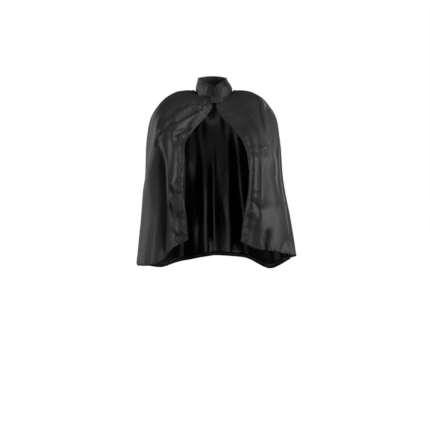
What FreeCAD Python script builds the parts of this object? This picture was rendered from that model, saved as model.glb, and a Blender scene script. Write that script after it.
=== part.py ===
import FreeCAD, Part
import math
import os
from FreeCAD import Vector

os.makedirs("parts", exist_ok=True)

# A satin costume cape with a stand collar, worn: it hangs from the neck over both shoulders.
# Millimetres. +X is the wearer's left, -Y is the front and +Z is up.
# The origin is on the neck's axis, at mid-height of the neck tape's back half. The heights below are
# stated from a level NECK_LEVEL lower, and every shape is moved down by it when it is written.

CLOTH = 0.8  # one layer of satin with its puckers
HEM = 1.2  # a double-turned hem, on the inside of the panel
LAYER_GAP = 0.3
TAPE_RADIUS = 62.0  # inner wall of the neck tape
TAPE = 0.8
TAPE_Z = (14.0, 24.0)
NECK_LEVEL = 19.0
COLLAR_RADIUS = 66.0  # outer face of the collar at its seam
COLLAR_LAYER = 0.7
COLLAR_LEAN = -6.0  # sideways lean of the collar's top edge
COLLAR_MEET_X = 5.0  # where the two collar fronts meet
RIPPLE = 9.0  # depth of the hanging folds at the hem
HEM_WIDTH = 0.013  # share of a panel's drop taken by the bottom hem
EDGE_HEM = 0.17  # share of the last column taken by the front edge's hem
SEAM_HALF = 0.1  # half the width of a side seam's allowances, in columns
SEAM_CLOTH = 0.6
SLIT = 0.006  # gap between neighbouring cloth sections, in columns
NECK_SLIT = 0.016  # more of it at the neck, where the columns are narrow

# Nine lines that run down the left half of the cape, from the centre back round to the front edge.
# Each has nine points from the neck seam to the hem, as (x, y, z).
LINES = [
    [(0, 67, 28), (0, 77, 8), (0, 92, -30), (0, 104, -80), (0, 110, -150),
     (0, 113, -240), (0, 118, -340), (0, 126, -450), (0, 136, -578)],
    [(32, 59, 27), (45, 71, 14), (62, 88, -20), (76, 100, -75), (82, 110, -150),
     (86, 116, -240), (92, 124, -340), (100, 136, -455), (108, 150, -586)],
    [(57, 36, 23), (82, 47, 20), (112, 66, -4), (140, 84, -62), (154, 92, -145),
     (160, 93, -238), (170, 99, -340), (186, 110, -460), (205, 126, -624)],
    [(66, 11.6, 18), (91, 17, 25), (136, 31, 14), (181, 44, -32), (209, 50, -100),
     (219, 53, -190), (222, 57, -310), (244, 63, -440), (268, 70, -590)],
    [(67, 0, 15), (92, 3, 24), (140, 4, 17), (192, 2, -22), (229, -8, -88),
     (241, -25, -175), (240, -30, -300), (264, -30, -430), (286, -28, -571)],
    [(66, -11.6, 11.5), (88, -16, 18), (134, -28, 14), (184, -47, -20), (218, -62, -84),
     (231, -80, -178), (230, -86, -300), (250, -92, -430), (270, -96, -561)],
    [(57, -36, 3), (74, -51, -2), (106, -69, -14), (150, -93, -52), (186, -119, -110),
     (198, -141, -190), (196, -148, -300), (204, -150, -425), (216, -150, -547)],
    [(34, -58, -6), (43, -71, -22), (66, -88, -48), (100, -113, -90), (136, -150, -145),
     (148, -172, -215), (148, -180, -315), (150, -178, -420), (150, -172, -538)],
    [(7, -67, -11), (9, -77, -40), (32, -93, -78), (66, -119, -115), (101, -158, -166),
     (119, -183, -240), (120, -190, -330), (103, -184, -425), (92, -176, -511)],
]
LAST = len(LINES) - 1

# The right half against the left: widths by row, at the side and at the front edge, and hem heights.
RIGHT_SIDE = [1, 1, 1, 1, 1, 0.998, 1.02, 0.965, 0.945]
RIGHT_EDGE = [1, 1, 1, 1, 0.975, 0.86, 0.9, 0.94, 0.985]
RIGHT_HEM = [-578, -596, -618, -610, -597, -600, -590, -535, -505]


def smooth(t):
    t = min(1.0, max(0.0, t))
    return t * t * (3 - 2 * t)


def worn(side, column, row):
    """A table point. The right half is mirrored, with its own widths and its own hem."""
    x, y, z = LINES[column][row]
    if side < 0:
        edge = max(0.0, column - LAST + 2) / 2
        x *= RIGHT_SIDE[row] + (RIGHT_EDGE[row] - RIGHT_SIDE[row]) * edge
        if row == LAST:
            z = RIGHT_HEM[column]
    return Vector(side * x, y, z)


def line_point(column, row):
    """A table point; one step past an edge it carries on straight."""
    if abs(column) > LAST:
        edge = LAST if column > 0 else -LAST
        inside = LAST - 1 if column > 0 else 1 - LAST
        return line_point(edge, row) * 2 - line_point(inside, row)
    if row < 0:
        return line_point(column, 0) * 2 - line_point(column, 1)
    if row > LAST:
        return line_point(column, LAST) * 2 - line_point(column, LAST - 1)
    side = -1 if column < 0 else 1
    return worn(side, abs(column), row)


def cubic(points, f):
    """Catmull-Rom between the second and third of four points."""
    a, b, c, d = points
    first = (c - a) * 0.5
    last = (d - b) * 0.5
    h1 = 2 * f ** 3 - 3 * f ** 2 + 1
    h2 = f ** 3 - 2 * f ** 2 + f
    h3 = 3 * f ** 2 - 2 * f ** 3
    h4 = f ** 3 - f ** 2
    return b * h1 + first * h2 + c * h3 + last * h4


def plain_point(u, v):
    """A point on the unfolded cape: u in columns (-8 to 8), v from 0 at the neck to 1 at the hem."""
    i = min(LAST - 1, max(-LAST, math.floor(u)))
    t = v * LAST
    j = min(LAST - 1, max(0, math.floor(t)))
    across = []
    for k in range(i - 1, i + 3):
        down = [line_point(k, m) for m in range(j - 1, j + 3)]
        across.append(cubic(down, t - j))
    return cubic(across, u - i)


def outward(u, v):
    along = plain_point(u + 0.05, v) - plain_point(u - 0.05, v)
    down = plain_point(u, v + 0.006) - plain_point(u, v - 0.006)
    n = along.cross(down)
    return n.normalize()


def cape_point(u, v, offset=0.0):
    """A point on the hanging cape, moved out of the cloth by offset."""
    depth = RIPPLE * smooth((v - 0.3) / 0.7)
    fold = depth * math.cos(2 * math.pi * 0.72 * abs(u) + 0.4)
    return plain_point(u, v) + outward(u, v) * (fold + offset)


def closed_solid(outer, inner):
    """A solid between two grids of points of the same size."""
    skins = []
    for grid in (outer, inner):
        surface = Part.BSplineSurface()
        surface.interpolate(grid)
        skins.append(surface)
    a, b = skins
    u0, u1, v0, v1 = a.bounds()
    p0, p1, q0, q1 = b.bounds()
    faces = [a.toShape(), b.toShape()]
    rims = [
        (a.uIso(u0), b.uIso(p0)),
        (a.uIso(u1), b.uIso(p1)),
        (a.vIso(v0), b.vIso(q0)),
        (a.vIso(v1), b.vIso(q1)),
    ]
    for near, far in rims:
        faces.append(Part.makeRuledSurface(near.toShape(), far.toShape()))
    shell = Part.Shell(faces)
    shell.sewShape()
    solid = Part.Solid(shell)
    if solid.Volume < 0:
        solid.reverse()
    return solid


def grid_of(point, a0, a1, b0, b1, na, nb):
    rows = []
    for i in range(na + 1):
        a = a0 + (a1 - a0) * i / na
        rows.append([point(a, b0 + (b1 - b0) * j / nb) for j in range(nb + 1)])
    return rows


def cape_sheet(u0, u1, v0, v1, out, thick, fine=8):
    """A strip of cloth whose outer face is out of the cape's surface by out."""
    nu = max(3, round(abs(u1 - u0) * fine))
    nv = max(3, round((v1 - v0) * 36))
    middle = (u0 + u1) / 2

    def at(u, v, height):
        narrow = 1 - 2 * NECK_SLIT * smooth(1 - v / 0.14) / (u1 - u0)
        return cape_point(middle + (u - middle) * narrow, v, height)

    outer = grid_of(lambda u, v: at(u, v, out), u0, u1, v0, v1, nu, nv)
    inner = grid_of(lambda u, v: at(u, v, out - thick), u0, u1, v0, v1, nu, nv)
    return closed_solid(outer, inner)


def seam_z(phi):
    """Height of the neck seam; phi is 0 at the centre back and 180 at the front."""
    a = math.radians(phi)
    return 12 + 19 * math.cos(a) - 3 * math.cos(2 * a)


def collar_top(phi):
    a = math.radians(abs(phi))
    if math.cos(a) > 0:
        return 68 + 10 * math.cos(a) ** 2
    return 32 + 36 * math.sin(a)


def collar_slope(z):
    """How far the collar has leaned in at height z: it stands straight up to the top of the neck tape."""
    return smooth((z - 25) / 46)


def collar_point(phi, h, inset=0.0):
    """A point on the stand collar: h is 0 at the seam and 1 at the top edge."""
    a = math.radians(phi)
    top_radius = 57.5 - 6 * math.sin(a) ** 2
    z = seam_z(phi) + (collar_top(phi) - seam_z(phi)) * h
    t = collar_slope(z)
    r = COLLAR_RADIUS + (top_radius - COLLAR_RADIUS) * t - inset
    return Vector(r * math.sin(a) + COLLAR_LEAN * t, r * math.cos(a), z)


def meeting_angle(h, x):
    """The angle at which the collar's front reaches x, at height h."""
    t = collar_slope(-10 + 44 * h)
    r = COLLAR_RADIUS + (57.5 - COLLAR_RADIUS) * t
    return 180 - math.degrees(math.asin((x - COLLAR_LEAN * t) / r))


def collar_section(part, layer, h0=0.0, h1=1.0):
    """One layer of the collar: 0 outer, 1 interfacing, 2 inner; part is back, left or right."""
    near = layer * (COLLAR_LAYER + LAYER_GAP)
    margin = 0.35 if layer != 1 else 2.5

    def at(s, h, inset):
        if part == "back":
            phi = -88 + 176 * s
        elif part == "left":
            phi = 92 + (meeting_angle(h, COLLAR_MEET_X + margin) - 92) * s
        else:
            end = meeting_angle(h, COLLAR_MEET_X - margin) - 360
            phi = -92 + (end + 92) * s
        return collar_point(phi, h, inset)

    n = 36 if part == "back" else 20
    outer = grid_of(lambda s, h: at(s, h, near), 0, 1, h0, h1, n, 14)
    inner = grid_of(lambda s, h: at(s, h, near + COLLAR_LAYER), 0, 1, h0, h1, n, 14)
    return closed_solid(outer, inner)


def tape_back():
    """The back half of the neck tape: a plain band with a cylindrical inner wall."""
    low, high = TAPE_Z
    ring = Part.makeCylinder(TAPE_RADIUS + TAPE, high - low, Vector(0, 0, low))
    ring = ring.cut(Part.makeCylinder(TAPE_RADIUS, high - low + 2, Vector(0, 0, low - 1)))
    keep = Part.makePolygon([
        Vector(0, 0, low - 1), Vector(200, 21, low - 1), Vector(200, 200, low - 1),
        Vector(-200, 200, low - 1), Vector(-200, 21, low - 1), Vector(0, 0, low - 1),
    ])
    wedge = Part.Face(keep).extrude(Vector(0, 0, high - low + 2))
    return ring.common(wedge).Solids[0]


def tape_front(side):
    """The front quarter of the neck tape, which follows the seam's slope."""

    def at(s, t, r):
        end = 174 if side > 0 else 183
        phi = 97 + (end - 97) * s
        a = math.radians(phi)
        return Vector(side * r * math.sin(a), r * math.cos(a), seam_z(phi) - 2 + 7 * t)

    r0 = TAPE_RADIUS + 0.3
    outer = grid_of(lambda s, t: at(s, t, r0 + 0.5), 0, 1, 0, 1, 20, 3)
    inner = grid_of(lambda s, t: at(s, t, r0), 0, 1, 0, 1, 20, 3)
    return closed_solid(outer, inner)


def closure_point(x, z, out):
    """The smooth bib in front of the neck seam on which the closure lies."""
    front = 65.6 + 0.34 * (-2 - z)
    return Vector(x, -front - out, z)


def closure_plate(x0, x1, z0, z1, out, thick, round_end=0.0):
    """A plate on the bib. With round_end, its free end is rounded and its root lies down on the cloth."""

    def at(s, t, extra):
        x = x0 + (x1 - x0) * s
        half = (z1 - z0) / 2
        lift = out
        if round_end:
            near_end = max(0.0, (x - (x1 - round_end)) / round_end)
            half *= 1 - 0.42 * near_end ** 2
            lift = 0.4 + (out - 0.4) * smooth((x - x0) / 17)
        return closure_point(x, (z0 + z1) / 2 + half * (2 * t - 1), lift + extra)

    outer = grid_of(lambda s, t: at(s, t, thick), 0, 1, 0, 1, 16, 6)
    inner = grid_of(lambda s, t: at(s, t, 0.0), 0, 1, 0, 1, 16, 6)
    return closed_solid(outer, inner)


shapes = {}

# The back panel reaches to the side seams. Each front panel is in two sections, because its outer
# part bends when the front is opened.
under = -CLOTH - LAYER_GAP
shapes["back_panel"] = cape_sheet(-4 + SLIT, 4 - SLIT, 0, 1, 0, CLOTH)
shapes["back_panel_hem"] = cape_sheet(-4 + SLIT, 4 - SLIT, 1 - HEM_WIDTH, 1, under, HEM)
for side, name in ((1, "left"), (-1, "right")):
    sections = {
        "front_side": (4 + SLIT, 6 - SLIT, 0, 0, CLOTH),
        "front_panel": (6 + SLIT, 8, 0, 0, CLOTH),
        "front_side_hem": (4 + SLIT, 6 - SLIT, 1 - HEM_WIDTH, under, HEM),
        "front_panel_hem": (6 + SLIT, 8 - EDGE_HEM - 0.02, 1 - HEM_WIDTH, under, HEM),
        "front_edge_hem": (8 - EDGE_HEM, 8, 0.035, under, HEM),
    }
    for part, (a, b, v0, out, thick) in sections.items():
        u0, u1 = sorted((side * a, side * b))
        shapes[name + "_" + part] = cape_sheet(u0, u1, v0, 1, out, thick, 10)
    u0, u1 = sorted((side * (4 - SEAM_HALF), side * (4 + SEAM_HALF)))
    allowance = cape_sheet(u0, u1, 0.05, 0.972, under, SEAM_CLOTH, 10)
    shapes[name + "_side_seam_allowance"] = allowance
    shapes[name + "_neck_tape"] = tape_front(side)

# The three layers of the stand collar, each with a section at the back and one on each front.
for part in ("back", "left", "right"):
    for layer, cloth in enumerate(("outer", "interfacing", "inner")):
        h0, h1 = (0.03, 0.95) if cloth == "interfacing" else (0.0, 1.0)
        shapes[part + "_collar_" + cloth] = collar_section(part, layer, h0, h1)
shapes["back_neck_tape"] = tape_back()
shapes["neck_label"] = cape_sheet(-0.34, 0.34, 0.11, 0.2, under, 0.4, 12)

# The hook-and-loop closure, below the collar's fronts.
shapes["loop_strip"] = closure_plate(8, 27, -25, -13, 0.0, 1.2)
shapes["hook_strip"] = closure_plate(8, 27, -25, -13, 1.5, 1.2)
shapes["closure_tab"] = closure_plate(-12, 30, -27, -1, 3.0, CLOTH, 14)

for name, shape in shapes.items():
    shape.translate(Vector(0, 0, -NECK_LEVEL))
    shape.exportStep("parts/" + name + ".step")
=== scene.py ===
import math
import bpy
import numpy as np
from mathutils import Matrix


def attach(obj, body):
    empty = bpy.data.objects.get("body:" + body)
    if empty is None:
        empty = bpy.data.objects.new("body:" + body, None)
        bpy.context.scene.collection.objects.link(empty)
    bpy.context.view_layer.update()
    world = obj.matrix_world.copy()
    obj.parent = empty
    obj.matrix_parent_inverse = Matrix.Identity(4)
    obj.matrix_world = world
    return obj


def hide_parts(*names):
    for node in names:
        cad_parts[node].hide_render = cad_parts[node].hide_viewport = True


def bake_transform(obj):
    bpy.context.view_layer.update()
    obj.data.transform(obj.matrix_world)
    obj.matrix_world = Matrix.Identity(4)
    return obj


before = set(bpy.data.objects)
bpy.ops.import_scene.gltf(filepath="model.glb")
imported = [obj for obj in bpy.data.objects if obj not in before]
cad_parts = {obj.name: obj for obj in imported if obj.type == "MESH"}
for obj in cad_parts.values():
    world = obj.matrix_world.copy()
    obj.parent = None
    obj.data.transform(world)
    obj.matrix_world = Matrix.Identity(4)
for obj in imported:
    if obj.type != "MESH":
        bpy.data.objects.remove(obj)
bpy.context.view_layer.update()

# A satin costume cape. Metres, in the frame of the CAD: +X is the wearer's left, -Y is the front, +Z is up.

# ---------------------------------------------------------------- camera, light and floor

NECK_LEVEL = 0.019  # the origin is this far above the level that the cape's own heights are counted from
FLOOR_Z = -1.20
FLOOR_REACH = 40
CAMERA_X = 0.0036
CAMERA_AWAY = 4.5
CAMERA_HEIGHT = -0.30
AIM_HEIGHT = -0.4248
VIEW_HALF_WIDTH = 0.774  # what half the picture spans at the cape's distance
ROOM_LIGHT = 0.015


def aim(obj, target):
    """Turns a camera or a light so that it looks at target."""
    d = np.array(target, float) - np.array(obj.location, float)
    flat = math.hypot(d[0], d[1])
    obj.rotation_euler = (math.pi / 2 + math.atan2(d[2], flat), 0, math.atan2(-d[0], d[1]))


def collection_add(obj):
    bpy.context.scene.collection.objects.link(obj)
    return obj


camera = collection_add(bpy.data.objects.new("camera", bpy.data.cameras.new("camera")))
camera.location = (CAMERA_X, -CAMERA_AWAY, CAMERA_HEIGHT - NECK_LEVEL)
aim(camera, (CAMERA_X, 0, AIM_HEIGHT - NECK_LEVEL))
camera.data.sensor_fit = "HORIZONTAL"
camera.data.angle = 2 * math.atan(VIEW_HALF_WIDTH / CAMERA_AWAY)
camera.data.clip_start = 0.1
camera.data.clip_end = 200
bpy.context.scene.camera = camera


def softbox(name, place, target, width, height, watts):
    """A flat panel of light that the camera doesn't see, only its reflection in the satin."""
    light = bpy.data.lights.new(name, "AREA")
    light.shape = "RECTANGLE"
    light.size = width
    light.size_y = height
    light.energy = watts
    obj = collection_add(bpy.data.objects.new(name, light))
    obj.location = place
    aim(obj, target)
    obj.visible_camera = False


# Place, target, width, height and watts of each. "left" and "right" are as the camera sees them.
SOFTBOXES = {
    "left": ((-3.15, -0.72, 0.02), (0, 0, -0.30), 2.8, 2.6, 51),
    "right": ((3.00, -1.30, 0.25), (0, 0, -0.35), 2.6, 2.6, 62),
    "low": ((0.0, -2.6, -1.05), (0, 0.1, -0.45), 1.5, 0.5, 2.2),
    "right_high": ((1.35, -1.75, 2.0), (0.15, -0.1, -0.2), 1.1, 1.0, 12),
    "front": ((0.0, -4.6, -0.2), (0, 0, -0.35), 3.0, 2.0, 4),
    "back_left": ((-2.5, 2.1, 0.3), (0, 0, -0.35), 0.9, 2.3, 15),
    "back_right": ((1.7, 2.9, 0.3), (0, 0, -0.35), 0.7, 2.3, 13),
}
for name, values in SOFTBOXES.items():
    softbox(name, *values)


def studio_world():
    """White paper all round for the camera, while the cloth sees only a dim room."""
    world = bpy.data.worlds.new("studio")
    bpy.context.scene.world = world
    world.use_nodes = True
    tree = world.node_tree
    room = tree.nodes["Background"]
    paper = tree.nodes.new("ShaderNodeBackground")
    for background, strength in ((room, ROOM_LIGHT), (paper, 1.0)):
        background.inputs["Color"].default_value = (1, 1, 1, 1)
        background.inputs["Strength"].default_value = strength
    path = tree.nodes.new("ShaderNodeLightPath")
    choice = tree.nodes.new("ShaderNodeMixShader")
    tree.links.new(path.outputs["Is Camera Ray"], choice.inputs[0])
    tree.links.new(room.outputs[0], choice.inputs[1])
    tree.links.new(paper.outputs[0], choice.inputs[2])
    tree.links.new(choice.outputs[0], tree.nodes["World Output"].inputs[0])


studio_world()
bpy.context.scene.view_settings.view_transform = "Standard"


def floor_paper():
    """White paper that also glows, so that its far edge doesn't show against the white behind it."""
    material = bpy.data.materials.new("floor_paper")
    material.use_nodes = True
    inputs = material.node_tree.nodes["Principled BSDF"].inputs
    inputs["Base Color"].default_value = (0.93, 0.93, 0.93, 1)
    inputs["Roughness"].default_value = 0.9
    inputs["Emission Color"].default_value = (1, 1, 1, 1)
    inputs["Emission Strength"].default_value = 1.0
    return material


def stage_floor():
    """The paper under the cape. The satin doesn't mirror it and gets no light from it."""
    corners = [(x * FLOOR_REACH, y * FLOOR_REACH, FLOOR_Z) for x, y in ((-1, -1), (1, -1), (1, 1), (-1, 1))]
    mesh = bpy.data.meshes.new("floor")
    mesh.from_pydata(corners, [], [(0, 1, 2, 3)])
    mesh.materials.append(floor_paper())
    floor = collection_add(bpy.data.objects.new("floor", mesh))
    floor.visible_glossy = False
    floor.visible_diffuse = False


stage_floor()

# ---------------------------------------------------------------- the cape's hanging surface

# Nine lines down the left half, from the centre back to the front edge, in millimetres.
LINES = np.array([
    [(0, 67, 28), (0, 77, 8), (0, 92, -30), (0, 104, -80), (0, 110, -150),
     (0, 113, -240), (0, 118, -340), (0, 126, -450), (0, 136, -578)],
    [(32, 59, 27), (45, 71, 14), (62, 88, -20), (76, 100, -75), (82, 110, -150),
     (86, 116, -240), (92, 124, -340), (100, 136, -455), (108, 150, -586)],
    [(57, 36, 23), (82, 47, 20), (112, 66, -4), (140, 84, -62), (154, 92, -145),
     (160, 93, -238), (170, 99, -340), (186, 110, -460), (205, 126, -624)],
    [(66, 11.6, 18), (91, 17, 25), (136, 31, 14), (181, 44, -32), (209, 50, -100),
     (219, 53, -190), (222, 57, -310), (244, 63, -440), (268, 70, -590)],
    [(67, 0, 15), (92, 3, 24), (140, 4, 17), (192, 2, -22), (229, -8, -88),
     (241, -25, -175), (240, -30, -300), (264, -30, -430), (286, -28, -571)],
    [(66, -11.6, 11.5), (88, -16, 18), (134, -28, 14), (184, -47, -20), (218, -62, -84),
     (231, -80, -178), (230, -86, -300), (250, -92, -430), (270, -96, -561)],
    [(57, -36, 3), (74, -51, -2), (106, -69, -14), (150, -93, -52), (186, -119, -110),
     (198, -141, -190), (196, -148, -300), (204, -150, -425), (216, -150, -547)],
    [(34, -58, -6), (43, -71, -22), (66, -88, -48), (100, -113, -90), (136, -150, -145),
     (148, -172, -215), (148, -180, -315), (150, -178, -420), (150, -172, -538)],
    [(7, -67, -11), (9, -77, -40), (32, -93, -78), (66, -119, -115), (101, -158, -166),
     (119, -183, -240), (120, -190, -330), (103, -184, -425), (92, -176, -511)],
], float) / 1000

# The right half against the left: widths by row, at the side and at the front edge, and hem heights.
RIGHT_SIDE = np.array([1, 1, 1, 1, 1, 0.998, 1.02, 0.965, 0.945])
RIGHT_EDGE = np.array([1, 1, 1, 1, 0.975, 0.86, 0.9, 0.94, 0.985])
RIGHT_HEM = np.array([-578, -596, -618, -610, -597, -600, -590, -535, -505]) / 1000


def smooth(t):
    """An even rise from 0 at t = 0 to 1 at t = 1."""
    t = np.clip(t, 0, 1)
    return t * t * (3 - 2 * t)


def bell(x, centre, width):
    """A hump of height 1 at x = centre, which has died out two widths away."""
    return np.exp(-((x - centre) / width) ** 2)


def worn_table():
    """All seventeen lines, from the right front edge round the back to the left one."""
    right = LINES.copy()
    edge = (np.maximum(0, np.arange(9) - 6) / 2)[:, None]
    right[:, :, 0] *= -(RIGHT_SIDE + (RIGHT_EDGE - RIGHT_SIDE) * edge)
    right[:, 8, 2] = RIGHT_HEM
    return np.concatenate([right[:0:-1], LINES])


def spline_weights(t, count):
    """Catmull-Rom weights on count evenly spaced stations, the ends carried on straight."""
    w = np.zeros((len(t), count + 2))
    i = np.clip(np.floor(t).astype(int), 0, count - 2)
    f = t - i
    h = np.array([
        -0.5 * f ** 3 + f ** 2 - 0.5 * f,
        1.5 * f ** 3 - 2.5 * f ** 2 + 1,
        -1.5 * f ** 3 + 2 * f ** 2 + 0.5 * f,
        0.5 * f ** 3 - 0.5 * f ** 2,
    ])
    for k in range(4):
        w[np.arange(len(t)), i + k] += h[k]
    w[:, 1] += 2 * w[:, 0]
    w[:, 2] -= w[:, 0]
    w[:, -2] += 2 * w[:, -1]
    w[:, -3] -= w[:, -1]
    return w[:, 1:-1]


def plain_surface(u, v):
    """Grid of points; u from -8 to 8 in columns, v from 0 at the neck to 1 at the hem."""
    across = spline_weights(u + 8, 17)
    down = spline_weights(v * 8, 9)
    points = np.einsum("ik,kmc,jm->ijc", across, worn_table(), down)
    points[:, :, 2] -= NECK_LEVEL
    return points


def grid_normals(p):
    """The outward direction at every point of a grid."""
    n = np.cross(np.gradient(p, axis=0), np.gradient(p, axis=1))
    return n / np.maximum(np.linalg.norm(n, axis=-1, keepdims=True), 1e-12)


# ---------------------------------------------------------------- the folds it hangs in

# Folds seen on the front, as lines on X and Z: half width at each end, height (a valley is negative), points.
# All are in millimetres.
FOLDS = [
    (8, 10, -4, [(-46, -47), (-95, -52), (-134, -76), (-168, -105), (-190, -141)]),
    (7, 11, 8, [(-31, -52), (-82, -59), (-118, -77), (-153, -101), (-177, -136), (-201, -182)]),
    (6, 10, -5, [(-40, -66), (-75, -82), (-134, -112), (-172, -136), (-205, -195)]),
    (7, 16, 7, [(-18, -64), (-62, -82), (-118, -118), (-175, -161)]),
    (5, 8, -4.5, [(-72, -128), (-118, -146), (-141, -167)]),
    (5, 8, -4, [(-85, -164), (-118, -176), (-147, -179)]),
    (7, 10, 8, [(-188, -151), (-172, -233), (-163, -321), (-154, -420), (-146, -500)]),
    (9, 34, -31, [(-186, -156), (-183, -295), (-180, -388), (-176, -449), (-168, -737)]),
    (12, 24, 14, [(-194, -161), (-215, -275), (-230, -357), (-241, -449), (-259, -737)]),
    (7, 8, 3.5, [(-105, -298), (-134, -313), (-144, -344)]),
    (7, 9, -5, [(-162, -331), (-139, -361), (-105, -372)]),
    (9, 14, 5, [(-162, -365), (-139, -398), (-100, -424)]),
    (8, 10, -7, [(-160, -403), (-139, -444), (-95, -465)]),
    (10, 13, 5, [(-157, -457), (-129, -493), (-95, -488)]),
    (8, 9, 4.5, [(143, 3), (171, -43), (178, -84), (184, -151)]),
    (15, 17, 6, [(110, -215), (156, -213), (194, -200)]),
    (12, 14, -3, [(122, -244), (164, -246), (205, -233)]),
    (10, 12, -6, [(169, -7), (200, -79), (211, -115), (219, -161), (227, -275)]),
    (16, 18, -4, [(146, -428), (194, -414), (246, -420)]),
    (10, 12, 2, [(167, -233), (171, -347), (169, -419)]),
    (5, 6, -3, [(125, -362), (169, -357)]),
    (6, 8, -6, [(117, -385), (143, -393), (156, -413), (157, -444), (134, -493)]),
    (14, 14, 7, [(133, -429)]),
    (8, 12, -9, [(194, -480), (178, -532), (185, -604)]),
    (8, 13, -9, [(287, -501), (251, -545), (236, -604)]),
    (12, 16, 4, [(205, -460), (210, -614)]),
    (20, 26, -7, [(140, -465), (115, -593)]),
    (4, 4, 2.2, [(50, -85)]),
    (4, 4, 2.2, [(72, -101)]),
    (5, 5, 2.5, [(113, -156)]),
    (5, 5, 2.4, [(133, -207)]),
]


# The sharp creases on top of them, in the same form.
CREASES = [
    (7, 8, -5.2, [(-80, -52), (-97, -61), (-118, -76), (-142, -91), (-158, -109), (-174, -124)]),
    (6.5, 8, -4.8, [(-52, -72), (-73, -83), (-97, -96), (-115, -108), (-135, -120)]),
    (7, 8.5, -6.2, [(-134, -106), (-158, -123), (-175, -139), (-185, -157), (-196, -179), (-206, -208)]),
    (6.5, 8, -5.0, [(-78, -137), (-107, -148), (-140, -157)]),
    (7, 7.5, -4.4, [(-135, -152), (-128, -176), (-118, -187), (-100, -189)]),
    (4.5, 5, 2.4, [(-143, -98), (-160, -116), (-178, -134), (-192, -157)]),
    (3, 3.5, 1.3, [(-92, -100), (-122, -118), (-146, -133)]),
    (4, 4, 1.8, [(-115, -168), (-100, -179)]),
    (3, 3, 1.5, [(-93, -153)]),
    (4, 4, 2.2, [(-48, -41), (-28, -40), (-10, -38)]),
    (3.5, 3.5, -2.0, [(-54, -51), (-34, -50), (-16, -47)]),
    (4, 4, 2.4, [(-46, -64), (-34, -60), (-18, -54)]),
    (3, 3, -1.8, [(-54, -68), (-36, -70)]),
    (3.5, 4, 2.0, [(-146, -326), (-132, -348), (-114, -362)]),
    (5, 6, -2.6, [(-154, -330), (-146, -362), (-118, -370)]),
    (4, 4, 2.2, [(-146, -376), (-137, -408), (-124, -426), (-106, -429)]),
    (5, 6, -3.2, [(-153, -392), (-142, -428), (-126, -446), (-102, -454)]),
    (4, 5, 2.6, [(-147, -444), (-143, -475), (-132, -496), (-120, -502), (-107, -482)]),
    (6, 6, -2.8, [(-146, -494), (-128, -515), (-106, -508)]),
    (5, 6, -2.0, [(-142, -534), (-122, -540), (-100, -528)]),
    (3.5, 3.5, 1.8, [(-158, -312), (-157, -370), (-154, -420), (-147, -474)]),
    (2.5, 2.5, -1.5, [(-134, -332), (-121, -314)]),
    (2.5, 2.5, -1.3, [(-130, -302), (-114, -299)]),
    (4, 4.5, 2.6, [(162, -44), (168, -80), (173, -103), (178, -130), (185, -172)]),
    (3, 3, 1.2, [(122, -52), (146, -90), (158, -118)]),
    (3, 3, 1.0, [(116, -84), (138, -102), (146, -114)]),
    (6, 7, -5.0, [(172, -38), (186, -82), (194, -104), (202, -136), (207, -180), (211, -215), (218, -270)]),
    (3, 3, -1.4, [(180, -100), (189, -140), (190, -176)]),
    (5, 5, 2.2, [(116, -223), (150, -221), (166, -212), (180, -203), (204, -203)]),
    (3.5, 4, 1.7, [(164, -244), (165, -330), (163, -406)]),
    (3.5, 4, -2.8, [(112, -394), (134, -393), (146, -410), (151, -432), (147, -450), (132, -478)]),
    (5, 5, 2.2, [(112, -442), (126, -428), (142, -421)]),
    (3, 3, -2.0, [(136, -368), (162, -359)]),
    (3, 3, 1.4, [(124, -350), (150, -350)]),
    (2.5, 2.5, -1.3, [(126, -341), (148, -335)]),
    (5, 6, -3.5, [(188, -486), (178, -530), (176, -575)]),
    (4, 5, 2.4, [(164, -532), (172, -575)]),
    (4, 5, 2.4, [(198, -524), (190, -575)]),
    (5, 6, -3.2, [(262, -510), (246, -540), (230, -572)]),
    (4, 4, 1.8, [(218, -530), (216, -572)]),
]


def near_line(x, z, points):
    """Distance from a drawn line, and how far along it the nearest point is, from 0 to 1."""
    p = np.array(points, float)
    if len(p) == 1:
        return np.hypot(x - p[0, 0], z - p[0, 1]), np.full(x.shape, 0.5)
    seg = np.linalg.norm(np.diff(p, axis=0), axis=1)
    start = np.concatenate([[0], np.cumsum(seg)])
    best = np.full(x.shape, 1e9)
    along = np.zeros(x.shape)
    for i, length in enumerate(seg):
        dx, dz = (p[i + 1] - p[i]) / length
        t = np.clip((x - p[i, 0]) * dx + (z - p[i, 1]) * dz, 0, length)
        d = np.hypot(x - p[i, 0] - dx * t, z - p[i, 1] - dz * t)
        closer = d < best
        best = np.where(closer, d, best)
        along = np.where(closer, (start[i] + t) / start[-1], along)
    return best, along


FOLD_ENDS = 0.22  # share of a fold's length over which it rises, and over which it dies out
FRONT_FROM = 4.25  # the fronts' folds start this side of the side seam, in columns
FLUTES = 0.72  # flutes of the back to a column


def front_folds(u, surface, folds):
    """The folds of the two fronts, out of the surface, in metres."""
    x = surface[:, :, 0] * 1000
    z = surface[:, :, 2] * 1000
    total = np.zeros(u.shape)
    for w0, w1, height, points in folds:
        d, s = near_line(x, z, points)
        width = w0 + (w1 - w0) * s
        ends = smooth(s / FOLD_ENDS) * smooth((1 - s) / FOLD_ENDS) if len(points) > 1 else 1
        side = smooth((np.abs(u) - FRONT_FROM) / 0.7) * (np.sign(u) == np.sign(points[0][0]))
        total += height / 1000 * bell(d, 0, width) * ends * side
    return total


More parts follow.
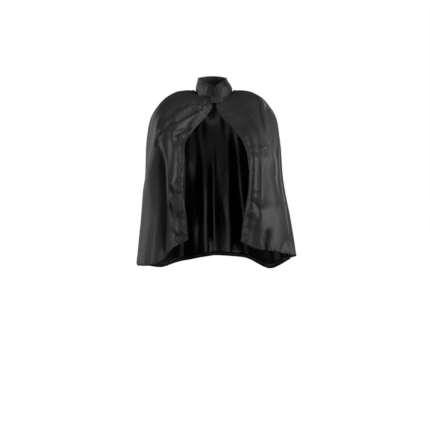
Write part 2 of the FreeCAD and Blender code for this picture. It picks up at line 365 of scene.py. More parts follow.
def back_flutes(u, v):
    """The long uneven flutes in which the back hangs, which die out on the fronts."""
    turn = 2 * math.pi * FLUTES * np.abs(u) + 0.4
    turn = turn + 0.35 * np.sin(1.3 * u + 0.6) + 0.5 * np.sin(3.0 * v + 0.7 * u) * smooth((v - 0.4) / 0.6)
    depth = (0.0085 + 0.0025 * np.sin(2.1 * u + 1)) * smooth((v - 0.26) / 0.62)
    behind = smooth((4.9 - np.abs(u)) / 1.1)
    return depth * (np.cos(turn) + 0.22 * np.cos(2 * turn + 1.0 + np.sign(u))) * (0.12 + 0.88 * behind)


SHOULDER = 4.1  # the column over the shoulder
SHOULDER_RISE = 0.0075
SHOULDER_DIP = 0.0040
SLIM = 0.006  # how much nearer the arm the cloth hangs
SLIM_LEFT = 0.002  # and how much more so on the left than the mean


def shoulder_shape(u, v, plain):
    """Each shoulder stands up beside the neck seam and then dips, and the cloth is slim beside the arm."""
    down = arc(plain, 1)
    shoulder = bell(np.abs(u), SHOULDER, 1.0)
    slim = smooth((v - 0.30) / 0.12) * smooth((0.78 - v) / 0.15) * shoulder
    total = -(SLIM + SLIM_LEFT * np.sign(u)) * slim
    total += SHOULDER_RISE * bell(np.abs(u), 4.0, 1.1) * bell(down, 0.0075, 0.0065)
    total -= SHOULDER_DIP * shoulder * bell(down, 0.100, 0.045)
    return total


def hanging_folds(u, v, plain):
    """All the broad folds, out of the hanging surface, in metres."""
    uneven = wave_noise(0.55 * u + 1.4 * v, 31) + wave_noise(2.6 * v - 0.35 * u, 33)
    uneven += wave_noise(1.1 * u - 0.8 * v, 35)
    total = back_flutes(u, v) + front_folds(u, plain, FOLDS)
    total += 0.0009 * smooth((v - 0.1) / 0.3) * uneven
    return total + shoulder_shape(u, v, plain)


# ---------------------------------------------------------------- the cloth, hung by a small solver

NU = 321  # points round the cape, 20 to a column
NV = 133  # points down it
STEP_TIME = 1 / 60
GRAVITY = 9.8 * 0.6  # less than the real one, because the cloth is slowed by the air
KEPT_SPEED = 0.9
SOFT_WALL = 0.001  # the limits are felt over this distance
MOST_DROP = 0.0015  # how far a point may slide down the hanging surface
SHEAR_STIFFNESS = 0.35
# How many points apart the links that resist bending reach, and how stiff they are.
BENDING = [(2, 0.30), (5, 0.14)]
WIDE_BENDING = (9, 0.10)  # on the full grid only
COARSE_RUN = (150, 14)  # steps, and passes over the links in each
FULL_RUN = (70, 12)


def fullness(v):
    """How much wider than the hanging surface the cloth was cut, as a share."""
    return 0.002 + 0.010 * smooth((v - 0.25) / 0.6)


def seed_folds(u, v):
    """Small uneven starts for the secondary folds, in metres."""
    side = np.sign(u)
    turn = 2 * math.pi * 1.9 * np.abs(u) + 1.1 * side + 1.6 * np.sin(0.9 * u + 4 * v)
    return 0.0016 * smooth((v - 0.15) / 0.5) * np.cos(turn) * (0.6 + 0.4 * np.sin(7 * v + 2 * u))


def pull(x, a, b, rest, stiff):
    """Moves the points x[a] and x[b] towards their distance at rest."""
    d = x[b] - x[a]
    length = np.sqrt(np.einsum("ijk,ijk->ij", d, d))
    d *= (0.5 * stiff * (1 - rest / length))[..., None]
    x[a] += d
    x[b] -= d


EVERY = slice(None)


def link_sets(eu, ev):
    """Pairs of neighbouring points with their distance at rest, in groups that share no point."""
    nu, nv = ev.shape[0], eu.shape[1]
    across = np.linalg.norm(eu, axis=2)
    down = np.linalg.norm(ev, axis=2)
    one = np.linalg.norm(eu[:, :-1] + ev[:-1], axis=2)
    two = np.linalg.norm(eu[:, :-1] - ev[:-1], axis=2)
    upper, lower = slice(0, nv - 1), slice(1, nv)
    links = []
    for k in (0, 1):
        n = (nu - k) // 2 * 2 + k
        a, b = slice(k, n - 1, 2), slice(k + 1, n, 2)
        links.append(((a, EVERY), (b, EVERY), across[a], 1.0))
        m = (nv - k) // 2 * 2 + k
        c, d = slice(k, m - 1, 2), slice(k + 1, m, 2)
        links.append(((EVERY, c), (EVERY, d), down[:, c], 1.0))
        links.append(((a, upper), (b, lower), one[a], SHEAR_STIFFNESS))
        links.append(((a, lower), (b, upper), two[a], SHEAR_STIFFNESS))
    return links


def bend_sets(plain, reach, stiff):
    """Pairs of points reach apart along either direction, which keep the cloth from creasing."""
    nu, nv = plain.shape[:2]
    across = np.linalg.norm(plain[reach:] - plain[:-reach], axis=2) * 1.004
    down = np.linalg.norm(plain[:, reach:] - plain[:, :-reach], axis=2) * 1.002
    stride = 2 * reach
    links = []
    for k in range(stride):
        a, b = slice(k, nu - reach, stride), slice(k + reach, nu, stride)
        links.append(((a, EVERY), (b, EVERY), across[a], stiff))
        c, d = slice(k, nv - reach, stride), slice(k + reach, nv, stride)
        links.append(((EVERY, c), (EVERY, d), down[:, c], stiff))
    return links


def hang(plain, normals, start, full, inward, outward, slide, steps, passes):
    """Lets the cloth settle under gravity between the body and the air around it."""
    eu = np.diff(plain, axis=0) * (1 + 0.5 * (full[1:] + full[:-1]))[..., None]
    ev = np.diff(plain, axis=1) * 1.001
    links = link_sets(eu, ev)
    bending = BENDING + [WIDE_BENDING] if len(plain) == NU else BENDING
    for reach, stiff in bending:
        links += bend_sets(plain, reach, stiff)
    x = start.astype(np.float32)
    base = plain.astype(np.float32)
    n = normals.astype(np.float32)
    low = -inward.astype(np.float32)
    high = outward.astype(np.float32)
    room = slide.astype(np.float32)
    links = [(a, b, rest.astype(np.float32), k) for a, b, rest, k in links]
    before = x.copy()
    for _ in range(steps):
        speed = (x - before) * KEPT_SPEED
        before = x.copy()
        x = x + speed
        x[:, 1:, 2] -= GRAVITY * STEP_TIME * STEP_TIME
        for _ in range(passes):
            for a, b, rest, k in links:
                pull(x, a, b, rest, k)
            x[:, 0] = base[:, 0]
        d = x - base
        out = np.einsum("ijk,ijk->ij", d, n)
        along = d - out[..., None] * n
        size = np.linalg.norm(along, axis=2)
        along *= (np.minimum(size, room) / np.maximum(size, 1e-9))[..., None]
        along[..., 2] = np.maximum(along[..., 2], -MOST_DROP)
        held = low + np.logaddexp(0, (out - low) / SOFT_WALL) * SOFT_WALL
        held = high - np.logaddexp(0, (high - held) / SOFT_WALL) * SOFT_WALL
        x = base + along + held[..., None] * n
        x[:, 0] = base[:, 0]
    return x.astype(float)


def finer(a, u, v):
    """The same grid at other values of u and v, by a smooth curve through the old points."""
    wu = spline_weights((u + 8) / 16 * (a.shape[0] - 1), a.shape[0])
    wv = spline_weights(v * (a.shape[1] - 1), a.shape[1])
    return np.einsum("ik,kmc,jm->ijc", wu, a, wv, optimize=True)


def limits(v):
    """How far the cloth may go in, out and along from the hanging surface."""
    inward = 0.0010 + 0.003 * smooth((v - 0.2) / 0.5)
    outward = 0.0010 + 0.004 * smooth((v - 0.15) / 0.5)
    slide = 0.002 + 0.006 * smooth((v - 0.1) / 0.6)
    return inward, outward, slide


def hung_cloth():
    """The settled cape as a grid of points: first a coarse grid, then the full one, then one smoothing."""
    grid = None
    coarse_run, full_run = ((COARSE_RUN, FULL_RUN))
    for nu, nv, run in (((NU + 1) // 2, (NV + 1) // 2, coarse_run), (NU, NV, full_run)):
        u1 = np.linspace(-8, 8, nu)
        v1 = np.linspace(0, 1, nv)
        plain = plain_surface(u1, v1)
        u, v = np.meshgrid(u1, v1, indexing="ij")
        plain = plain + grid_normals(plain) * hanging_folds(u, v, plain)[..., None]
        normals = grid_normals(plain)
        if grid is None:
            grid = plain + normals * seed_folds(u, v)[..., None]
        else:
            grid = finer(grid, u1, v1)
        grid = hang(plain, normals, grid, fullness(v), *limits(v), *run)
    grid[1:-1] = 0.5 * grid[1:-1] + 0.25 * (grid[:-2] + grid[2:])
    grid[:, 1:-1] = 0.5 * grid[:, 1:-1] + 0.25 * (grid[:, :-2] + grid[:, 2:])
    return grid


# ---------------------------------------------------------------- materials


class Nodes:
    """A short way to build a material's node tree."""

    def __init__(self, name):
        self.material = bpy.data.materials.new(name)
        self.material.use_nodes = True
        self.tree = self.material.node_tree
        self.shader = self.tree.nodes["Principled BSDF"]

    def add(self, kind, **values):
        node = self.tree.nodes.new(kind)
        for key, value in values.items():
            setattr(node, key, value)
        return node

    def link(self, source, target):
        self.tree.links.new(source, target)

    def math(self, operation, a, b=0.0, clamp=False):
        node = self.add("ShaderNodeMath", operation=operation, use_clamp=clamp)
        for socket, value in zip(node.inputs, (a, b)):
            if isinstance(value, (int, float)):
                socket.default_value = value
            else:
                self.link(value, socket)
        return node.outputs[0]

    def uv(self, scale_x, scale_y):
        source = self.add("ShaderNodeUVMap", uv_map="cloth")
        mapping = self.add("ShaderNodeMapping")
        mapping.inputs["Scale"].default_value = (scale_x, scale_y, 1)
        self.link(source.outputs[0], mapping.inputs["Vector"])
        return mapping.outputs[0]

    def noise(self, vector, detail=2.0, rough=0.5):
        node = self.add("ShaderNodeTexNoise")
        node.inputs["Scale"].default_value = 1.0
        node.inputs["Detail"].default_value = detail
        node.inputs["Roughness"].default_value = rough
        self.link(vector, node.inputs["Vector"])
        return node.outputs["Fac"]

    def attribute(self, name):
        return self.add("ShaderNodeAttribute", attribute_name=name).outputs["Fac"]

    def between(self, fac, low, high, out_low, out_high):
        node = self.add("ShaderNodeMapRange")
        node.inputs["From Min"].default_value = low
        node.inputs["From Max"].default_value = high
        node.inputs["To Min"].default_value = out_low
        node.inputs["To Max"].default_value = out_high
        self.link(fac, node.inputs["Value"])
        return node.outputs["Result"]

    def mix(self, fac, a, b):
        node = self.add("ShaderNodeMix", data_type="RGBA")
        self.link(fac, node.inputs[0])
        for socket, value in ((node.inputs[6], a), (node.inputs[7], b)):
            if isinstance(value, tuple):
                socket.default_value = (*value, 1)
            else:
                self.link(value, socket)
        return node.outputs[2]

    def bump(self, height, distance, strength=1.0, before=None):
        node = self.add("ShaderNodeBump")
        node.inputs["Distance"].default_value = distance
        node.inputs["Strength"].default_value = strength
        self.link(height, node.inputs["Height"])
        if before is not None:
            self.link(before, node.inputs["Normal"])
        return node.outputs["Normal"]

    def set(self, **values):
        names = {
            "specular": "Specular IOR Level",
            "anisotropic": "Anisotropic",
            "sheen": "Sheen Weight",
            "sheen_rough": "Sheen Roughness",
        }
        for key, value in values.items():
            self.shader.inputs[names[key]].default_value = value


STITCH_ROW = 0.0078  # from the edge of the cloth to its row of stitches
STITCH_LENGTH = 0.0028
STITCH_GAP = 0.28  # share of a stitch's length where the thread is underneath
THREAD_COLOR = (0.03, 0.03, 0.032)
PUCKERED = 0.022  # how far from the edge the sewing puckers the cloth


def satin_relief(n, edge, stitch_row, thread):
    """Streaky floats, soft crush marks, and puckers and stitches along the hems."""
    relief = n.bump(n.noise(n.uv(2600, 420), detail=1), 0.00002)
    relief = n.bump(n.noise(n.uv(55, 40), detail=4, rough=0.55), 0.0009, 0.5, relief)
    relief = n.bump(n.noise(n.uv(170, 130)), 0.0003, 0.35, relief)
    puckers = n.math("MULTIPLY", n.noise(n.uv(150, 150)), n.between(edge, 0.0, PUCKERED, 1, 0))
    relief = n.bump(puckers, 0.0012, 0.6, relief)
    groove = n.math("MULTIPLY", stitch_row, -1.0)
    return n.bump(n.math("ADD", groove, n.math("MULTIPLY", thread, 0.7)), 0.0005, 0.8, relief)


def satin(name, dark, light, rough_low, rough_high, sheen):
    """Black polyester satin, cloudy and slightly brushed along its floats, with its sewn hems."""
    n = Nodes(name)
    patches = n.noise(n.uv(9, 6), detail=3)
    color = n.mix(n.between(patches, 0.3, 0.7, 0, 1), dark, light)
    edge = n.attribute("hem_dist")
    stitch_row = n.between(n.math("ABSOLUTE", n.math("SUBTRACT", edge, STITCH_ROW)), 0.0, 0.0006, 1, 0)
    place = n.math("FRACT", n.math("MULTIPLY", n.attribute("hem_run"), 1 / STITCH_LENGTH))
    thread = n.math("MULTIPLY", stitch_row, n.math("GREATER_THAN", place, STITCH_GAP), clamp=True)
    color = n.mix(n.math("MULTIPLY", thread, 0.6), color, THREAD_COLOR)
    n.link(color, n.shader.inputs["Base Color"])
    grain = n.noise(n.uv(240, 90), detail=3)
    clouds = n.math("ADD", n.math("MULTIPLY", patches, 0.7), n.math("MULTIPLY", grain, 0.3))
    rough = n.between(clouds, 0.35, 0.65, rough_low, rough_high)
    hem = n.between(edge, 0.0075, 0.0095, 1, 0)
    n.link(n.math("ADD", rough, n.math("MULTIPLY", hem, 0.04)), n.shader.inputs["Roughness"])
    n.link(satin_relief(n, edge, stitch_row, thread), n.shader.inputs["Normal"])
    tangent = n.add("ShaderNodeTangent", direction_type="UV_MAP", uv_map="cloth")
    n.link(tangent.outputs[0], n.shader.inputs["Tangent"])
    n.set(anisotropic=0.45, sheen=sheen, sheen_rough=0.45, specular=0.5)
    return n.material


def textile(name, dark, light, rough, scale_x, scale_y, depth):
    """A plain matt textile: tape, interfacing, label or pile."""
    n = Nodes(name)
    yarn = n.noise(n.uv(scale_x, scale_y))
    cloud = n.noise(n.uv(60, 60))
    fac = n.math("MULTIPLY", n.between(yarn, 0.3, 0.7, 0, 1), n.between(cloud, 0.2, 0.8, 0.6, 1))
    n.link(n.mix(fac, dark, light), n.shader.inputs["Base Color"])
    n.link(n.between(cloud, 0.3, 0.7, rough - 0.06, rough + 0.06), n.shader.inputs["Roughness"])
    n.link(n.bump(yarn, depth), n.shader.inputs["Normal"])
    n.set(specular=0.25)
    return n.material


satin_face = satin("satin_face", (0.0022, 0.0022, 0.0025), (0.0042, 0.0042, 0.0047), 0.19, 0.28, 0.0)
# The reverse face is duller than the face. Its base colour is partly the reverse side's own greyer tone and
# partly painted fill light, which lifts the shaded inside of the cape, collar and tab.
satin_back_painted_fill = satin("satin_back_painted_fill", (0.040, 0.040, 0.043), (0.054, 0.054, 0.058), 0.42, 0.52, 0.08)
satin_collar = satin("satin_collar", (0.0065, 0.0065, 0.0072), (0.012, 0.012, 0.0132), 0.40, 0.54, 0.03)
satin_hem = satin("satin_hem", (0.004, 0.004, 0.0045), (0.008, 0.008, 0.0088), 0.34, 0.44, 0.01)
tape_cloth = textile("tape_cloth", (0.012, 0.012, 0.013), (0.024, 0.024, 0.026), 0.75, 900, 350, 0.0002)
fusing = textile("fusing", (0.05, 0.05, 0.052), (0.085, 0.085, 0.088), 0.85, 700, 700, 0.0002)
label_cloth = textile("label_cloth", (0.62, 0.62, 0.60), (0.78, 0.78, 0.75), 0.7, 1500, 500, 0.0001)
loop_pile = textile("loop_pile", (0.012, 0.012, 0.013), (0.04, 0.04, 0.043), 0.9, 1100, 1100, 0.0008)
hook_pile = textile("hook_pile", (0.01, 0.01, 0.011), (0.05, 0.05, 0.053), 0.55, 600, 600, 0.0011)


# ---------------------------------------------------------------- pieces from grids of points


def sheet_mesh(name, grid, uv, fields, materials, thick):
    """A cloth object from a grid of points, with its UVs in metres of cloth and any point fields.

    Its thickness lies behind the grid, and a second material is for the face at the back.
    """
    nu, nv = grid.shape[:2]
    index = np.arange(nu * nv).reshape(nu, nv)
    quads = np.stack([index[:-1, :-1], index[:-1, 1:], index[1:, 1:], index[1:, :-1]], axis=-1).reshape(-1, 4)
    mesh = bpy.data.meshes.new(name)
    mesh.from_pydata(grid.reshape(-1, 3).tolist(), [], quads.tolist())
    layer = mesh.uv_layers.new(name="cloth")
    flat = uv.reshape(-1, 2)[quads.reshape(-1)]
    layer.data.foreach_set("uv", flat.astype(np.float32).reshape(-1))
    for key, values in fields.items():
        attribute = mesh.attributes.new(key, "FLOAT", "POINT")
        attribute.data.foreach_set("value", values.astype(np.float32).reshape(-1))
    for material in materials:
        mesh.materials.append(material)
    mesh.polygons.foreach_set("use_smooth", np.ones(len(quads), bool))
    mesh.update()
    obj = collection_add(bpy.data.objects.new(name, mesh))
    solid = obj.modifiers.new("thickness", "SOLIDIFY")
    solid.thickness = thick
    solid.offset = -1
    if len(materials) > 1:
        solid.material_offset = 1
    return obj


def arc(grid, axis):
    """Distance along the cloth from the first row, for every point of a grid."""
    steps = np.linalg.norm(np.diff(grid, axis=axis), axis=2)
    total = np.cumsum(steps, axis=axis)
    zero = np.zeros_like(np.take(total, [0], axis=axis))
    return np.concatenate([zero, total], axis=axis)


def wave_noise(x, seed, waves=7, low=0.6, high=1.7):
    """Smooth seeded noise of unit size over x, whose main wavelength is one."""
    rng = np.random.default_rng(seed)
    total = np.zeros_like(x)
    for _ in range(waves):
        total += np.cos(2 * math.pi * rng.uniform(low, high) * x + rng.uniform(0, 6.28))
    return total / math.sqrt(waves / 2)


def bend_with_front(obj):
    """Bakes obj's transform into its mesh."""
    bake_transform(obj)


# ---------------------------------------------------------------- the cape's panels

# The finished grid: each front is divided as finely as the whole back.
PANEL_COLUMNS = 241
COLUMNS = np.concatenate([
    np.linspace(-8, -4, PANEL_COLUMNS)[:-1],
    np.linspace(-4, 4, PANEL_COLUMNS)[:-1],
    np.linspace(4, 8, PANEL_COLUMNS),
])
ROWS = 199
CLOTH = 0.0006
HEM_CLOTH = 0.0011  # a hem strip is two layers
ALLOWANCE_CLOTH = 0.0005
LABEL_CLOTH = 0.0003
INSET = CLOTH + 0.0002  # from the outer face to what is sewn on the inside
LABEL_INSET = CLOTH + 0.0008
EDGE_ROLL = 0.0018  # how far the front edges turn in
EDGE_ROLL_WIDTH = 0.005
EDGE_HEM_COLUMNS = 0.2


def crumple(u, down, across, to_front):
    """Fine crumples in the cloth of the fronts, deeper towards their edges, in metres."""
    side = np.sign(u)
    one = wave_noise((across + 0.35 * down) / 0.017 + 2 * side, 41)
    one *= wave_noise((down - 0.5 * across) / 0.031, 42)
    two = wave_noise((down + 0.8 * across) / 0.022 + side, 43)
    two *= wave_noise((across - 0.3 * down) / 0.040, 44)
    depth = 0.00010 + 0.00030 * bell(to_front, 0.012, 0.022)
    return depth * (one + two) * smooth((np.abs(u) - 4.1) / 0.8) * smooth(down / 0.04)


def edge_puckers(u, v, down, to_front):
    """Uneven puckers along the sewn front edges, in metres."""
    side = np.sign(u)
    uneven = 0.45 + 0.55 * wave_noise(down / 0.09 + side, 13) ** 2
    waves = wave_noise(down / 0.024 + side * 3, 3, 9, 0.35, 2.1)
    near = bell(to_front, 0.006, 0.007) * smooth(v / 0.05)
    return 0.0005 * near * waves * np.minimum(uneven, 1.8)


def side_seams(u, v, down):
    """The furrow of each side seam, puckered by its stitches, in metres."""
    seam = bell(np.abs(u), 4, 0.06) * smooth(v / 0.05)
    return -0.0009 * seam * (1 + 0.6 * wave_noise(down / 0.02 + np.sign(u) * 5, 9))


def finished_cape():
    """The cape's outer face as a fine grid, its UVs in metres of cloth, and its fields for the hems."""
    v1 = np.linspace(0, 1, ROWS)
    g = finer(hung_cloth(), COLUMNS, v1)
    u, v = np.meshgrid(COLUMNS, v1, indexing="ij")
    n = grid_normals(g)
    across = arc(g, 0)
    down = arc(g, 1)
    to_front = np.minimum(across, across[-1:] - across)
    to_hem = down[:, -1:] - down
    along_hem = np.repeat(across[:, -1:], ROWS, axis=1)
    out = edge_puckers(u, v, down, to_front)
    out += 0.0009 * bell(to_hem, 0.006, 0.007) * wave_noise(along_hem / 0.017, 5)
    out += side_seams(u, v, down)
    out += front_folds(u, g, CREASES) * smooth(to_front / 0.006)
    out += crumple(u, down, across, to_front)
    out -= EDGE_ROLL * smooth((EDGE_ROLL_WIDTH - to_front) / EDGE_ROLL_WIDTH) * smooth(v / 0.06)
    fields = {
        "hem_dist": np.minimum(to_front, to_hem),
        "hem_run": np.where(to_front < to_hem, down, along_hem),
    }
    return g + n * out[..., None], np.stack([across, down], axis=-1), fields


cape, cape_uv, cape_fields = finished_cape()
cape_n = grid_normals(cape)


def columns(a, b):
    """The slice of the cape's grid from column a to column b."""
    i = np.argmin(np.abs(COLUMNS - a))
    j = np.argmin(np.abs(COLUMNS - b))
    return slice(i, j + 1)


def cape_piece(name, cut, nodes):
    """One panel of the cape: the columns in cut, with satin outside and its duller back inside, whose lighter
    colour is partly painted fill light.
    """
    fields = {k: f[cut] for k, f in cape_fields.items()}
    obj = sheet_mesh(name, cape[cut], cape_uv[cut], fields, [satin_face, satin_back_painted_fill], CLOTH)
    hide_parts(*nodes)
    return obj


def hem_strip(name, cols, rows, nodes):
    """A turned-up hem on the inside of the cape, over cols and rows of its grid."""
    grid = (cape - cape_n * INSET)[cols, rows]
    fields = {k: f[cols, rows] for k, f in cape_fields.items()}
    obj = sheet_mesh(name, grid, cape_uv[cols, rows], fields, [satin_hem], HEM_CLOTH)
    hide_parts(*nodes)
    return obj


HEM_ROWS = slice(ROWS - 4, ROWS)
EDGE_HEM_ROWS = slice(7, ROWS - 3)
PANELS = {
    "back_panel": (-4, 4, ["back_panel"], None),
    "left_front": (4, 8, ["left_front_side", "left_front_panel"], "left"),
    "right_front": (-8, -4, ["right_front_side", "right_front_panel"], "right"),
}
for name, (a, b, nodes, side) in PANELS.items():
    cut = columns(a, b)
    cloth = cape_piece(name + "_cloth", cut, nodes)
    hems = [hem_strip(name + "_bottom_hem", cut, HEM_ROWS, [n + "_hem" for n in nodes])]
    if side:
        edge = columns(8 - EDGE_HEM_COLUMNS, 8) if side == "left" else columns(-8, EDGE_HEM_COLUMNS - 8)
        hems.append(hem_strip(side + "_edge_hem_cloth", edge, EDGE_HEM_ROWS, [side + "_front_edge_hem"]))
    for piece in [cloth] + hems:
        if side:
            bend_with_front(piece)
        else:
            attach(piece, "cape_back")


# ---------------------------------------------------------------- the stand collar and the neck tape

COLLAR_RADIUS = 0.066  # at the neck seam
COLLAR_TOP_RADIUS = 0.0575
COLLAR_LEAN = -0.006  # the top edge sits this far towards the wearer's right
COLLAR_MEET = 0.005  # where the two halves meet in front
LAYER = 0.001  # from one layer of the collar to the next
COLLAR_CLOTH = {"outer": 0.0005, "interfacing": 0.0004, "inner": 0.0004}


def seam_z(phi):
    """Height of the neck seam, phi degrees round from the centre back."""
    a = np.radians(phi)
    return 0.012 + 0.019 * np.cos(a) - 0.003 * np.cos(2 * a)


def collar_top(phi):
    """Height of the collar's top edge, which falls towards the front."""
    a = np.radians(np.abs(phi))
    back = 0.068 + 0.010 * np.cos(a) ** 2
    front = 0.032 + 0.036 * np.sin(a)
    return np.where(np.cos(a) > 0, back, front)


def collar_slope(z):
    """How far the collar has drawn in at height z, from 0 at the seam to 1 at the top."""
    return smooth((z - 0.025) / 0.046)


def collar_points(phi, h, inset, rise):
    """Points on the collar: phi is 0 at the centre back, h is 0 at the seam and 1 at the top edge."""
    a = np.radians(phi)
    top_radius = COLLAR_TOP_RADIUS - 0.006 * np.sin(a) ** 2
    z = seam_z(phi) + (collar_top(phi) - seam_z(phi)) * h + rise
    t = collar_slope(z)
    r = COLLAR_RADIUS + (top_radius - COLLAR_RADIUS) * t - inset
    return np.stack([r * np.sin(a) + COLLAR_LEAN * t, r * np.cos(a), z - NECK_LEVEL], axis=-1)


def meeting_angle(h, x):
    """The angle at which the collar reaches x in front, at height share h."""
    t = collar_slope(-0.010 + 0.044 * h)
    r = COLLAR_RADIUS + (COLLAR_TOP_RADIUS - COLLAR_RADIUS) * t
    return 180 - np.degrees(np.arcsin((x - COLLAR_LEAN * t) / r))


COLLAR_ROWS = 34
COLLAR_COLUMNS = 121
# How the outer layer rolls over the top edge and down the inside: height share, inset and rise of each row.
TOP_ROLL = [(1.0, 0.0005, 0.0006), (1.0, 0.0012, 0.0008), (1.0, 0.0019, 0.0005), (0.985, 0.0022, 0)]
TOP_STITCH = 0.0052  # from the top edge down to the row of stitches


def collar_rows(layer):
    """Height share, inset and rise of each row of a layer, from the seam up."""
    start = 0.03 if layer == "interfacing" else 0.0
    end = {"outer": 1.0, "interfacing": 0.95, "inner": 0.985}[layer]
    depth = {"outer": 0.0, "interfacing": LAYER, "inner": 2 * LAYER}[layer]
    rows = [(h, depth, 0.0) for h in np.linspace(start, end, COLLAR_ROWS)]
    return rows + TOP_ROLL if layer == "outer" else rows


def outer_relief(phi, h, rise):
    """How far the outer layer is drawn in by its softness and by the stitches under its top edge."""
    soft = 0.00022 * wave_noise(phi / 24 + h * 0.6, 21) * smooth(h / 0.2) * smooth((1.05 - h) / 0.2)
    from_top = (1 - h) * (collar_top(phi) - seam_z(phi))
    groove = 0.0005 * bell(from_top, TOP_STITCH, 0.0011) if rise == 0 and h < 1 else 0
    return soft + groove


def collar_layer(side, layer):
    """One half of one layer of the collar, from the centre back to the front."""
    sign = 1 if side == "left" else -1
    margin = 0.0025 if layer == "interfacing" else 0.0004
    rows = []
    for h, inset, rise in collar_rows(layer):
        end = meeting_angle(h, COLLAR_MEET + sign * margin)
        phi = sign * (end if sign > 0 else 360 - end) * np.linspace(0, 1, COLLAR_COLUMNS)
        flattened = 0.0022 * bell(phi, -150, 22) * smooth(h / 0.15)
        crease = -0.0006 * bell(phi, 6 * h - 122, 4.5)
        inset = inset + flattened + crease
        if layer == "outer":
            inset = inset + outer_relief(phi, h, rise)
        rows.append(collar_points(phi, h, inset, rise))
    grid = np.stack(rows, axis=1)
    return grid[::sign]


def grid_uv(grid):
    """UVs in metres of cloth, along the columns and down the rows of a grid."""
    return np.stack([arc(grid, 0), arc(grid, 1)], axis=-1)


def collar_piece(side, layer, material):
    """One half of one layer of the collar, with a row of stitches TOP_STITCH below its top edge."""
    grid = collar_layer(side, layer)
    uv = grid_uv(grid)
    if layer == "inner":
        grid, uv = grid[::-1], uv[::-1]
    from_top = uv[..., 1].max(axis=1, keepdims=True) - uv[..., 1]
    fields = {"hem_dist": from_top + STITCH_ROW - TOP_STITCH, "hem_run": uv[..., 0]}
    obj = sheet_mesh(f"{side}_collar_{layer}_cloth", grid, uv, fields, [material], COLLAR_CLOTH[layer])
    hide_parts(f"{side}_collar_{layer}", f"back_collar_{layer}")
    bend_with_front(obj)


for side in ("left", "right"):
    collar_piece(side, "outer", satin_collar)
    collar_piece(side, "interfacing", fusing)
    collar_piece(side, "inner", satin_back_painted_fill)

TAPE_CLOTH = 0.0006
TAPE_WIDTH = 0.010
TAPE_LEVEL = 0.014  # height of the tape's lower edge behind
TAPE_RADIUS = 0.0627
TAPE_END = {"left": 174, "right": 183}  # degrees round from the centre back


def tape_piece(side):
    """The neck tape: a straight band behind, then along the slope of the seam in front."""
    sign = 1 if side == "left" else -1
    phi = np.linspace(0, TAPE_END[side], 90)
    a = np.radians(phi)
    turn = smooth((phi - 80) / 22)
    low = TAPE_LEVEL + (seam_z(phi) - 0.002 - TAPE_LEVEL) * turn
    high = TAPE_LEVEL + TAPE_WIDTH + (seam_z(phi) + 0.005 - TAPE_LEVEL - TAPE_WIDTH) * turn
    r = TAPE_RADIUS - 0.0001 * turn
    rows = []
    for t in np.linspace(0, 1, 8):
        z = low + (high - low) * t - NECK_LEVEL
        rows.append(np.stack([sign * r * np.sin(a), r * np.cos(a), z], axis=-1))
    grid = np.stack(rows, axis=1)[::sign]
    uv = grid_uv(grid)
    obj = sheet_mesh(f"{side}_neck_tape_cloth", grid, uv, {}, [tape_cloth], TAPE_CLOTH)
    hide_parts(f"{side}_neck_tape", "back_neck_tape")
    bend_with_front(obj)


tape_piece("left")
tape_piece("right")

# ---------------------------------------------------------------- seam allowances and the label

ALLOWANCE_HALF_COLUMNS = 0.1
ALLOWANCE_ROWS = slice(10, ROWS - 6)


def seam_allowance(side, centre):
    """The pressed-open allowances of a side seam, between the neck seam and the bottom hem."""
    cols = columns(centre - ALLOWANCE_HALF_COLUMNS, centre + ALLOWANCE_HALF_COLUMNS)
    grid = (cape - cape_n * INSET)[cols, ALLOWANCE_ROWS]
    uv = cape_uv[cols, ALLOWANCE_ROWS]
    obj = sheet_mesh(side + "_seam_allowance_cloth", grid, uv, {}, [tape_cloth], ALLOWANCE_CLOTH)
    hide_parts(side + "_side_seam_allowance")
    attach(obj, "cape_back")


seam_allowance("left", 4)
seam_allowance("right", -4)

LABEL_HALF_COLUMNS = 0.34
LABEL_TOP = 0.11  # share of the way down the rows
LABEL_BOTTOM = 0.2


def neck_label():
    """The blank label at the centre back."""
    cols = columns(-LABEL_HALF_COLUMNS, LABEL_HALF_COLUMNS)
    rows = slice(round(LABEL_TOP * (ROWS - 1)), round(LABEL_BOTTOM * (ROWS - 1)) + 1)
    grid = (cape - cape_n * LABEL_INSET)[cols, rows]
    obj = sheet_mesh("neck_label_cloth", grid, cape_uv[cols, rows], {}, [label_cloth], LABEL_CLOTH)
    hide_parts("neck_label")
    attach(obj, "cape_back")


neck_label()

# ---------------------------------------------------------------- the closure

SEAM_FRONT = 0.0656  # how far in front of the origin the neck is, at SEAM_FRONT_LEVEL
SEAM_FRONT_LEVEL = -0.002
SEAM_FRONT_SLOPE = 0.34
TAB_CLOTH = 0.0008
TAB_X = (-0.012, 0.030)
TAB_Z = (-0.027, -0.001)
TAB_ROUND = 0.014  # length of the tab's rounded end
STRIP_CLOTH = 0.0005
STRIP_X = (0.008, 0.027)
STRIP_Z = (-0.025, -0.013)
PILE = 0.00045
LOOP_OFF = 0.0003  # how far the loop strip stands off the neck
HOOK_OFF = 0.0024


def closure_grid(x_ends, z_ends, counts, lift, round_end=0.0):
    """A grid on the slanting front of the neck, with its s and t. lift says how far it stands off."""
    s, t = np.meshgrid(np.linspace(0, 1, counts[0]), np.linspace(0, 1, counts[1]), indexing="ij")
    x = x_ends[0] + (x_ends[1] - x_ends[0]) * s
    half = (z_ends[1] - z_ends[0]) / 2
    if round_end:
        half = half * (1 - 0.42 * np.maximum(0, (x - (x_ends[1] - round_end)) / round_end) ** 2)
    z = (z_ends[0] + z_ends[1]) / 2 + half * (2 * t - 1)
    y = -(SEAM_FRONT + SEAM_FRONT_SLOPE * (SEAM_FRONT_LEVEL - z)) - lift(s, t, x)
    return np.stack([x, y, z - NECK_LEVEL], axis=-1), s, t


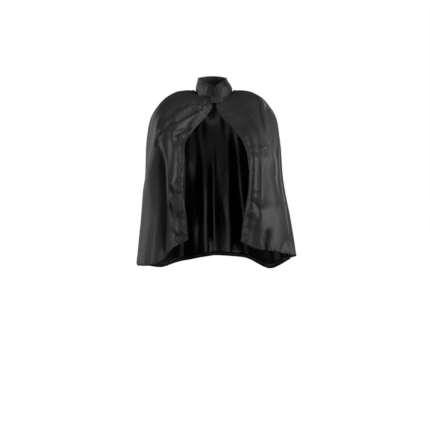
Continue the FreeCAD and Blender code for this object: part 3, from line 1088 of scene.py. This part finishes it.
def tab_lift(s, t, x):
    """How far the tab stands off: its root lies down, and it is pillowed, with creases towards the root."""
    rise = 0.0006 + 0.0027 * smooth((x - TAB_X[0]) / 0.017)
    pillow = 0.0028 * (1 - (2 * t - 1) ** 4) * (1 - np.maximum(0, (s - 0.75) / 0.25) ** 3)
    creases = 0.0015 * np.cos(9 * (t + 0.25 * s)) * smooth((0.62 - s) / 0.5) * smooth(s / 0.1)
    stitched = -0.0009 * bell(s, 0.42, 0.03)
    return rise + pillow + creases + stitched


def closure_tab():
    """The tab, from its root on the right front to its rounded end over the left front."""
    grid, s, t = closure_grid(TAB_X, TAB_Z, (61, 37), tab_lift, TAB_ROUND)
    uv = grid_uv(grid)
    edge = np.minimum(np.minimum(t, 1 - t) * (TAB_Z[1] - TAB_Z[0]), (1 - s) * (TAB_X[1] - TAB_X[0]))
    fields = {"hem_dist": edge + 0.0055, "hem_run": uv[..., 0]}
    obj = sheet_mesh("closure_tab_cloth", grid, uv, fields, [satin_face, satin_back_painted_fill], TAB_CLOTH)
    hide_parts("closure_tab")
    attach(obj, "tab")


def fastener(name, out, node, body, under, material):
    """A strip of hook or loop on the piece under it, with pile that stands up inside its rim."""
    grid, s, t = closure_grid(STRIP_X, STRIP_Z, (77, 49), lambda s, t, x: out)
    from_rim = np.minimum(np.minimum(s, 1 - s) * 19, np.minimum(t, 1 - t) * 12)  # in millimetres
    rng = np.random.default_rng(len(name))
    pile = PILE * smooth(from_rim / 0.9) * (0.6 + 0.4 * rng.random(from_rim.shape))
    faces_back = under == "closure_tab_cloth"
    top = grid + grid_normals(grid) * (-1 if faces_back else 1) * pile[..., None]
    obj = sheet_mesh(name, top, grid_uv(grid), {}, [material], STRIP_CLOTH)
    if faces_back:
        obj.modifiers["thickness"].offset = 1
    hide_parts(node)
    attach(obj, body)


closure_tab()
fastener("loop_strip_pile", LOOP_OFF, "loop_strip", "left_front", "left_front_cloth", loop_pile)
fastener("hook_strip_pile", HOOK_OFF, "hook_strip", "tab", "closure_tab_cloth", hook_pile)
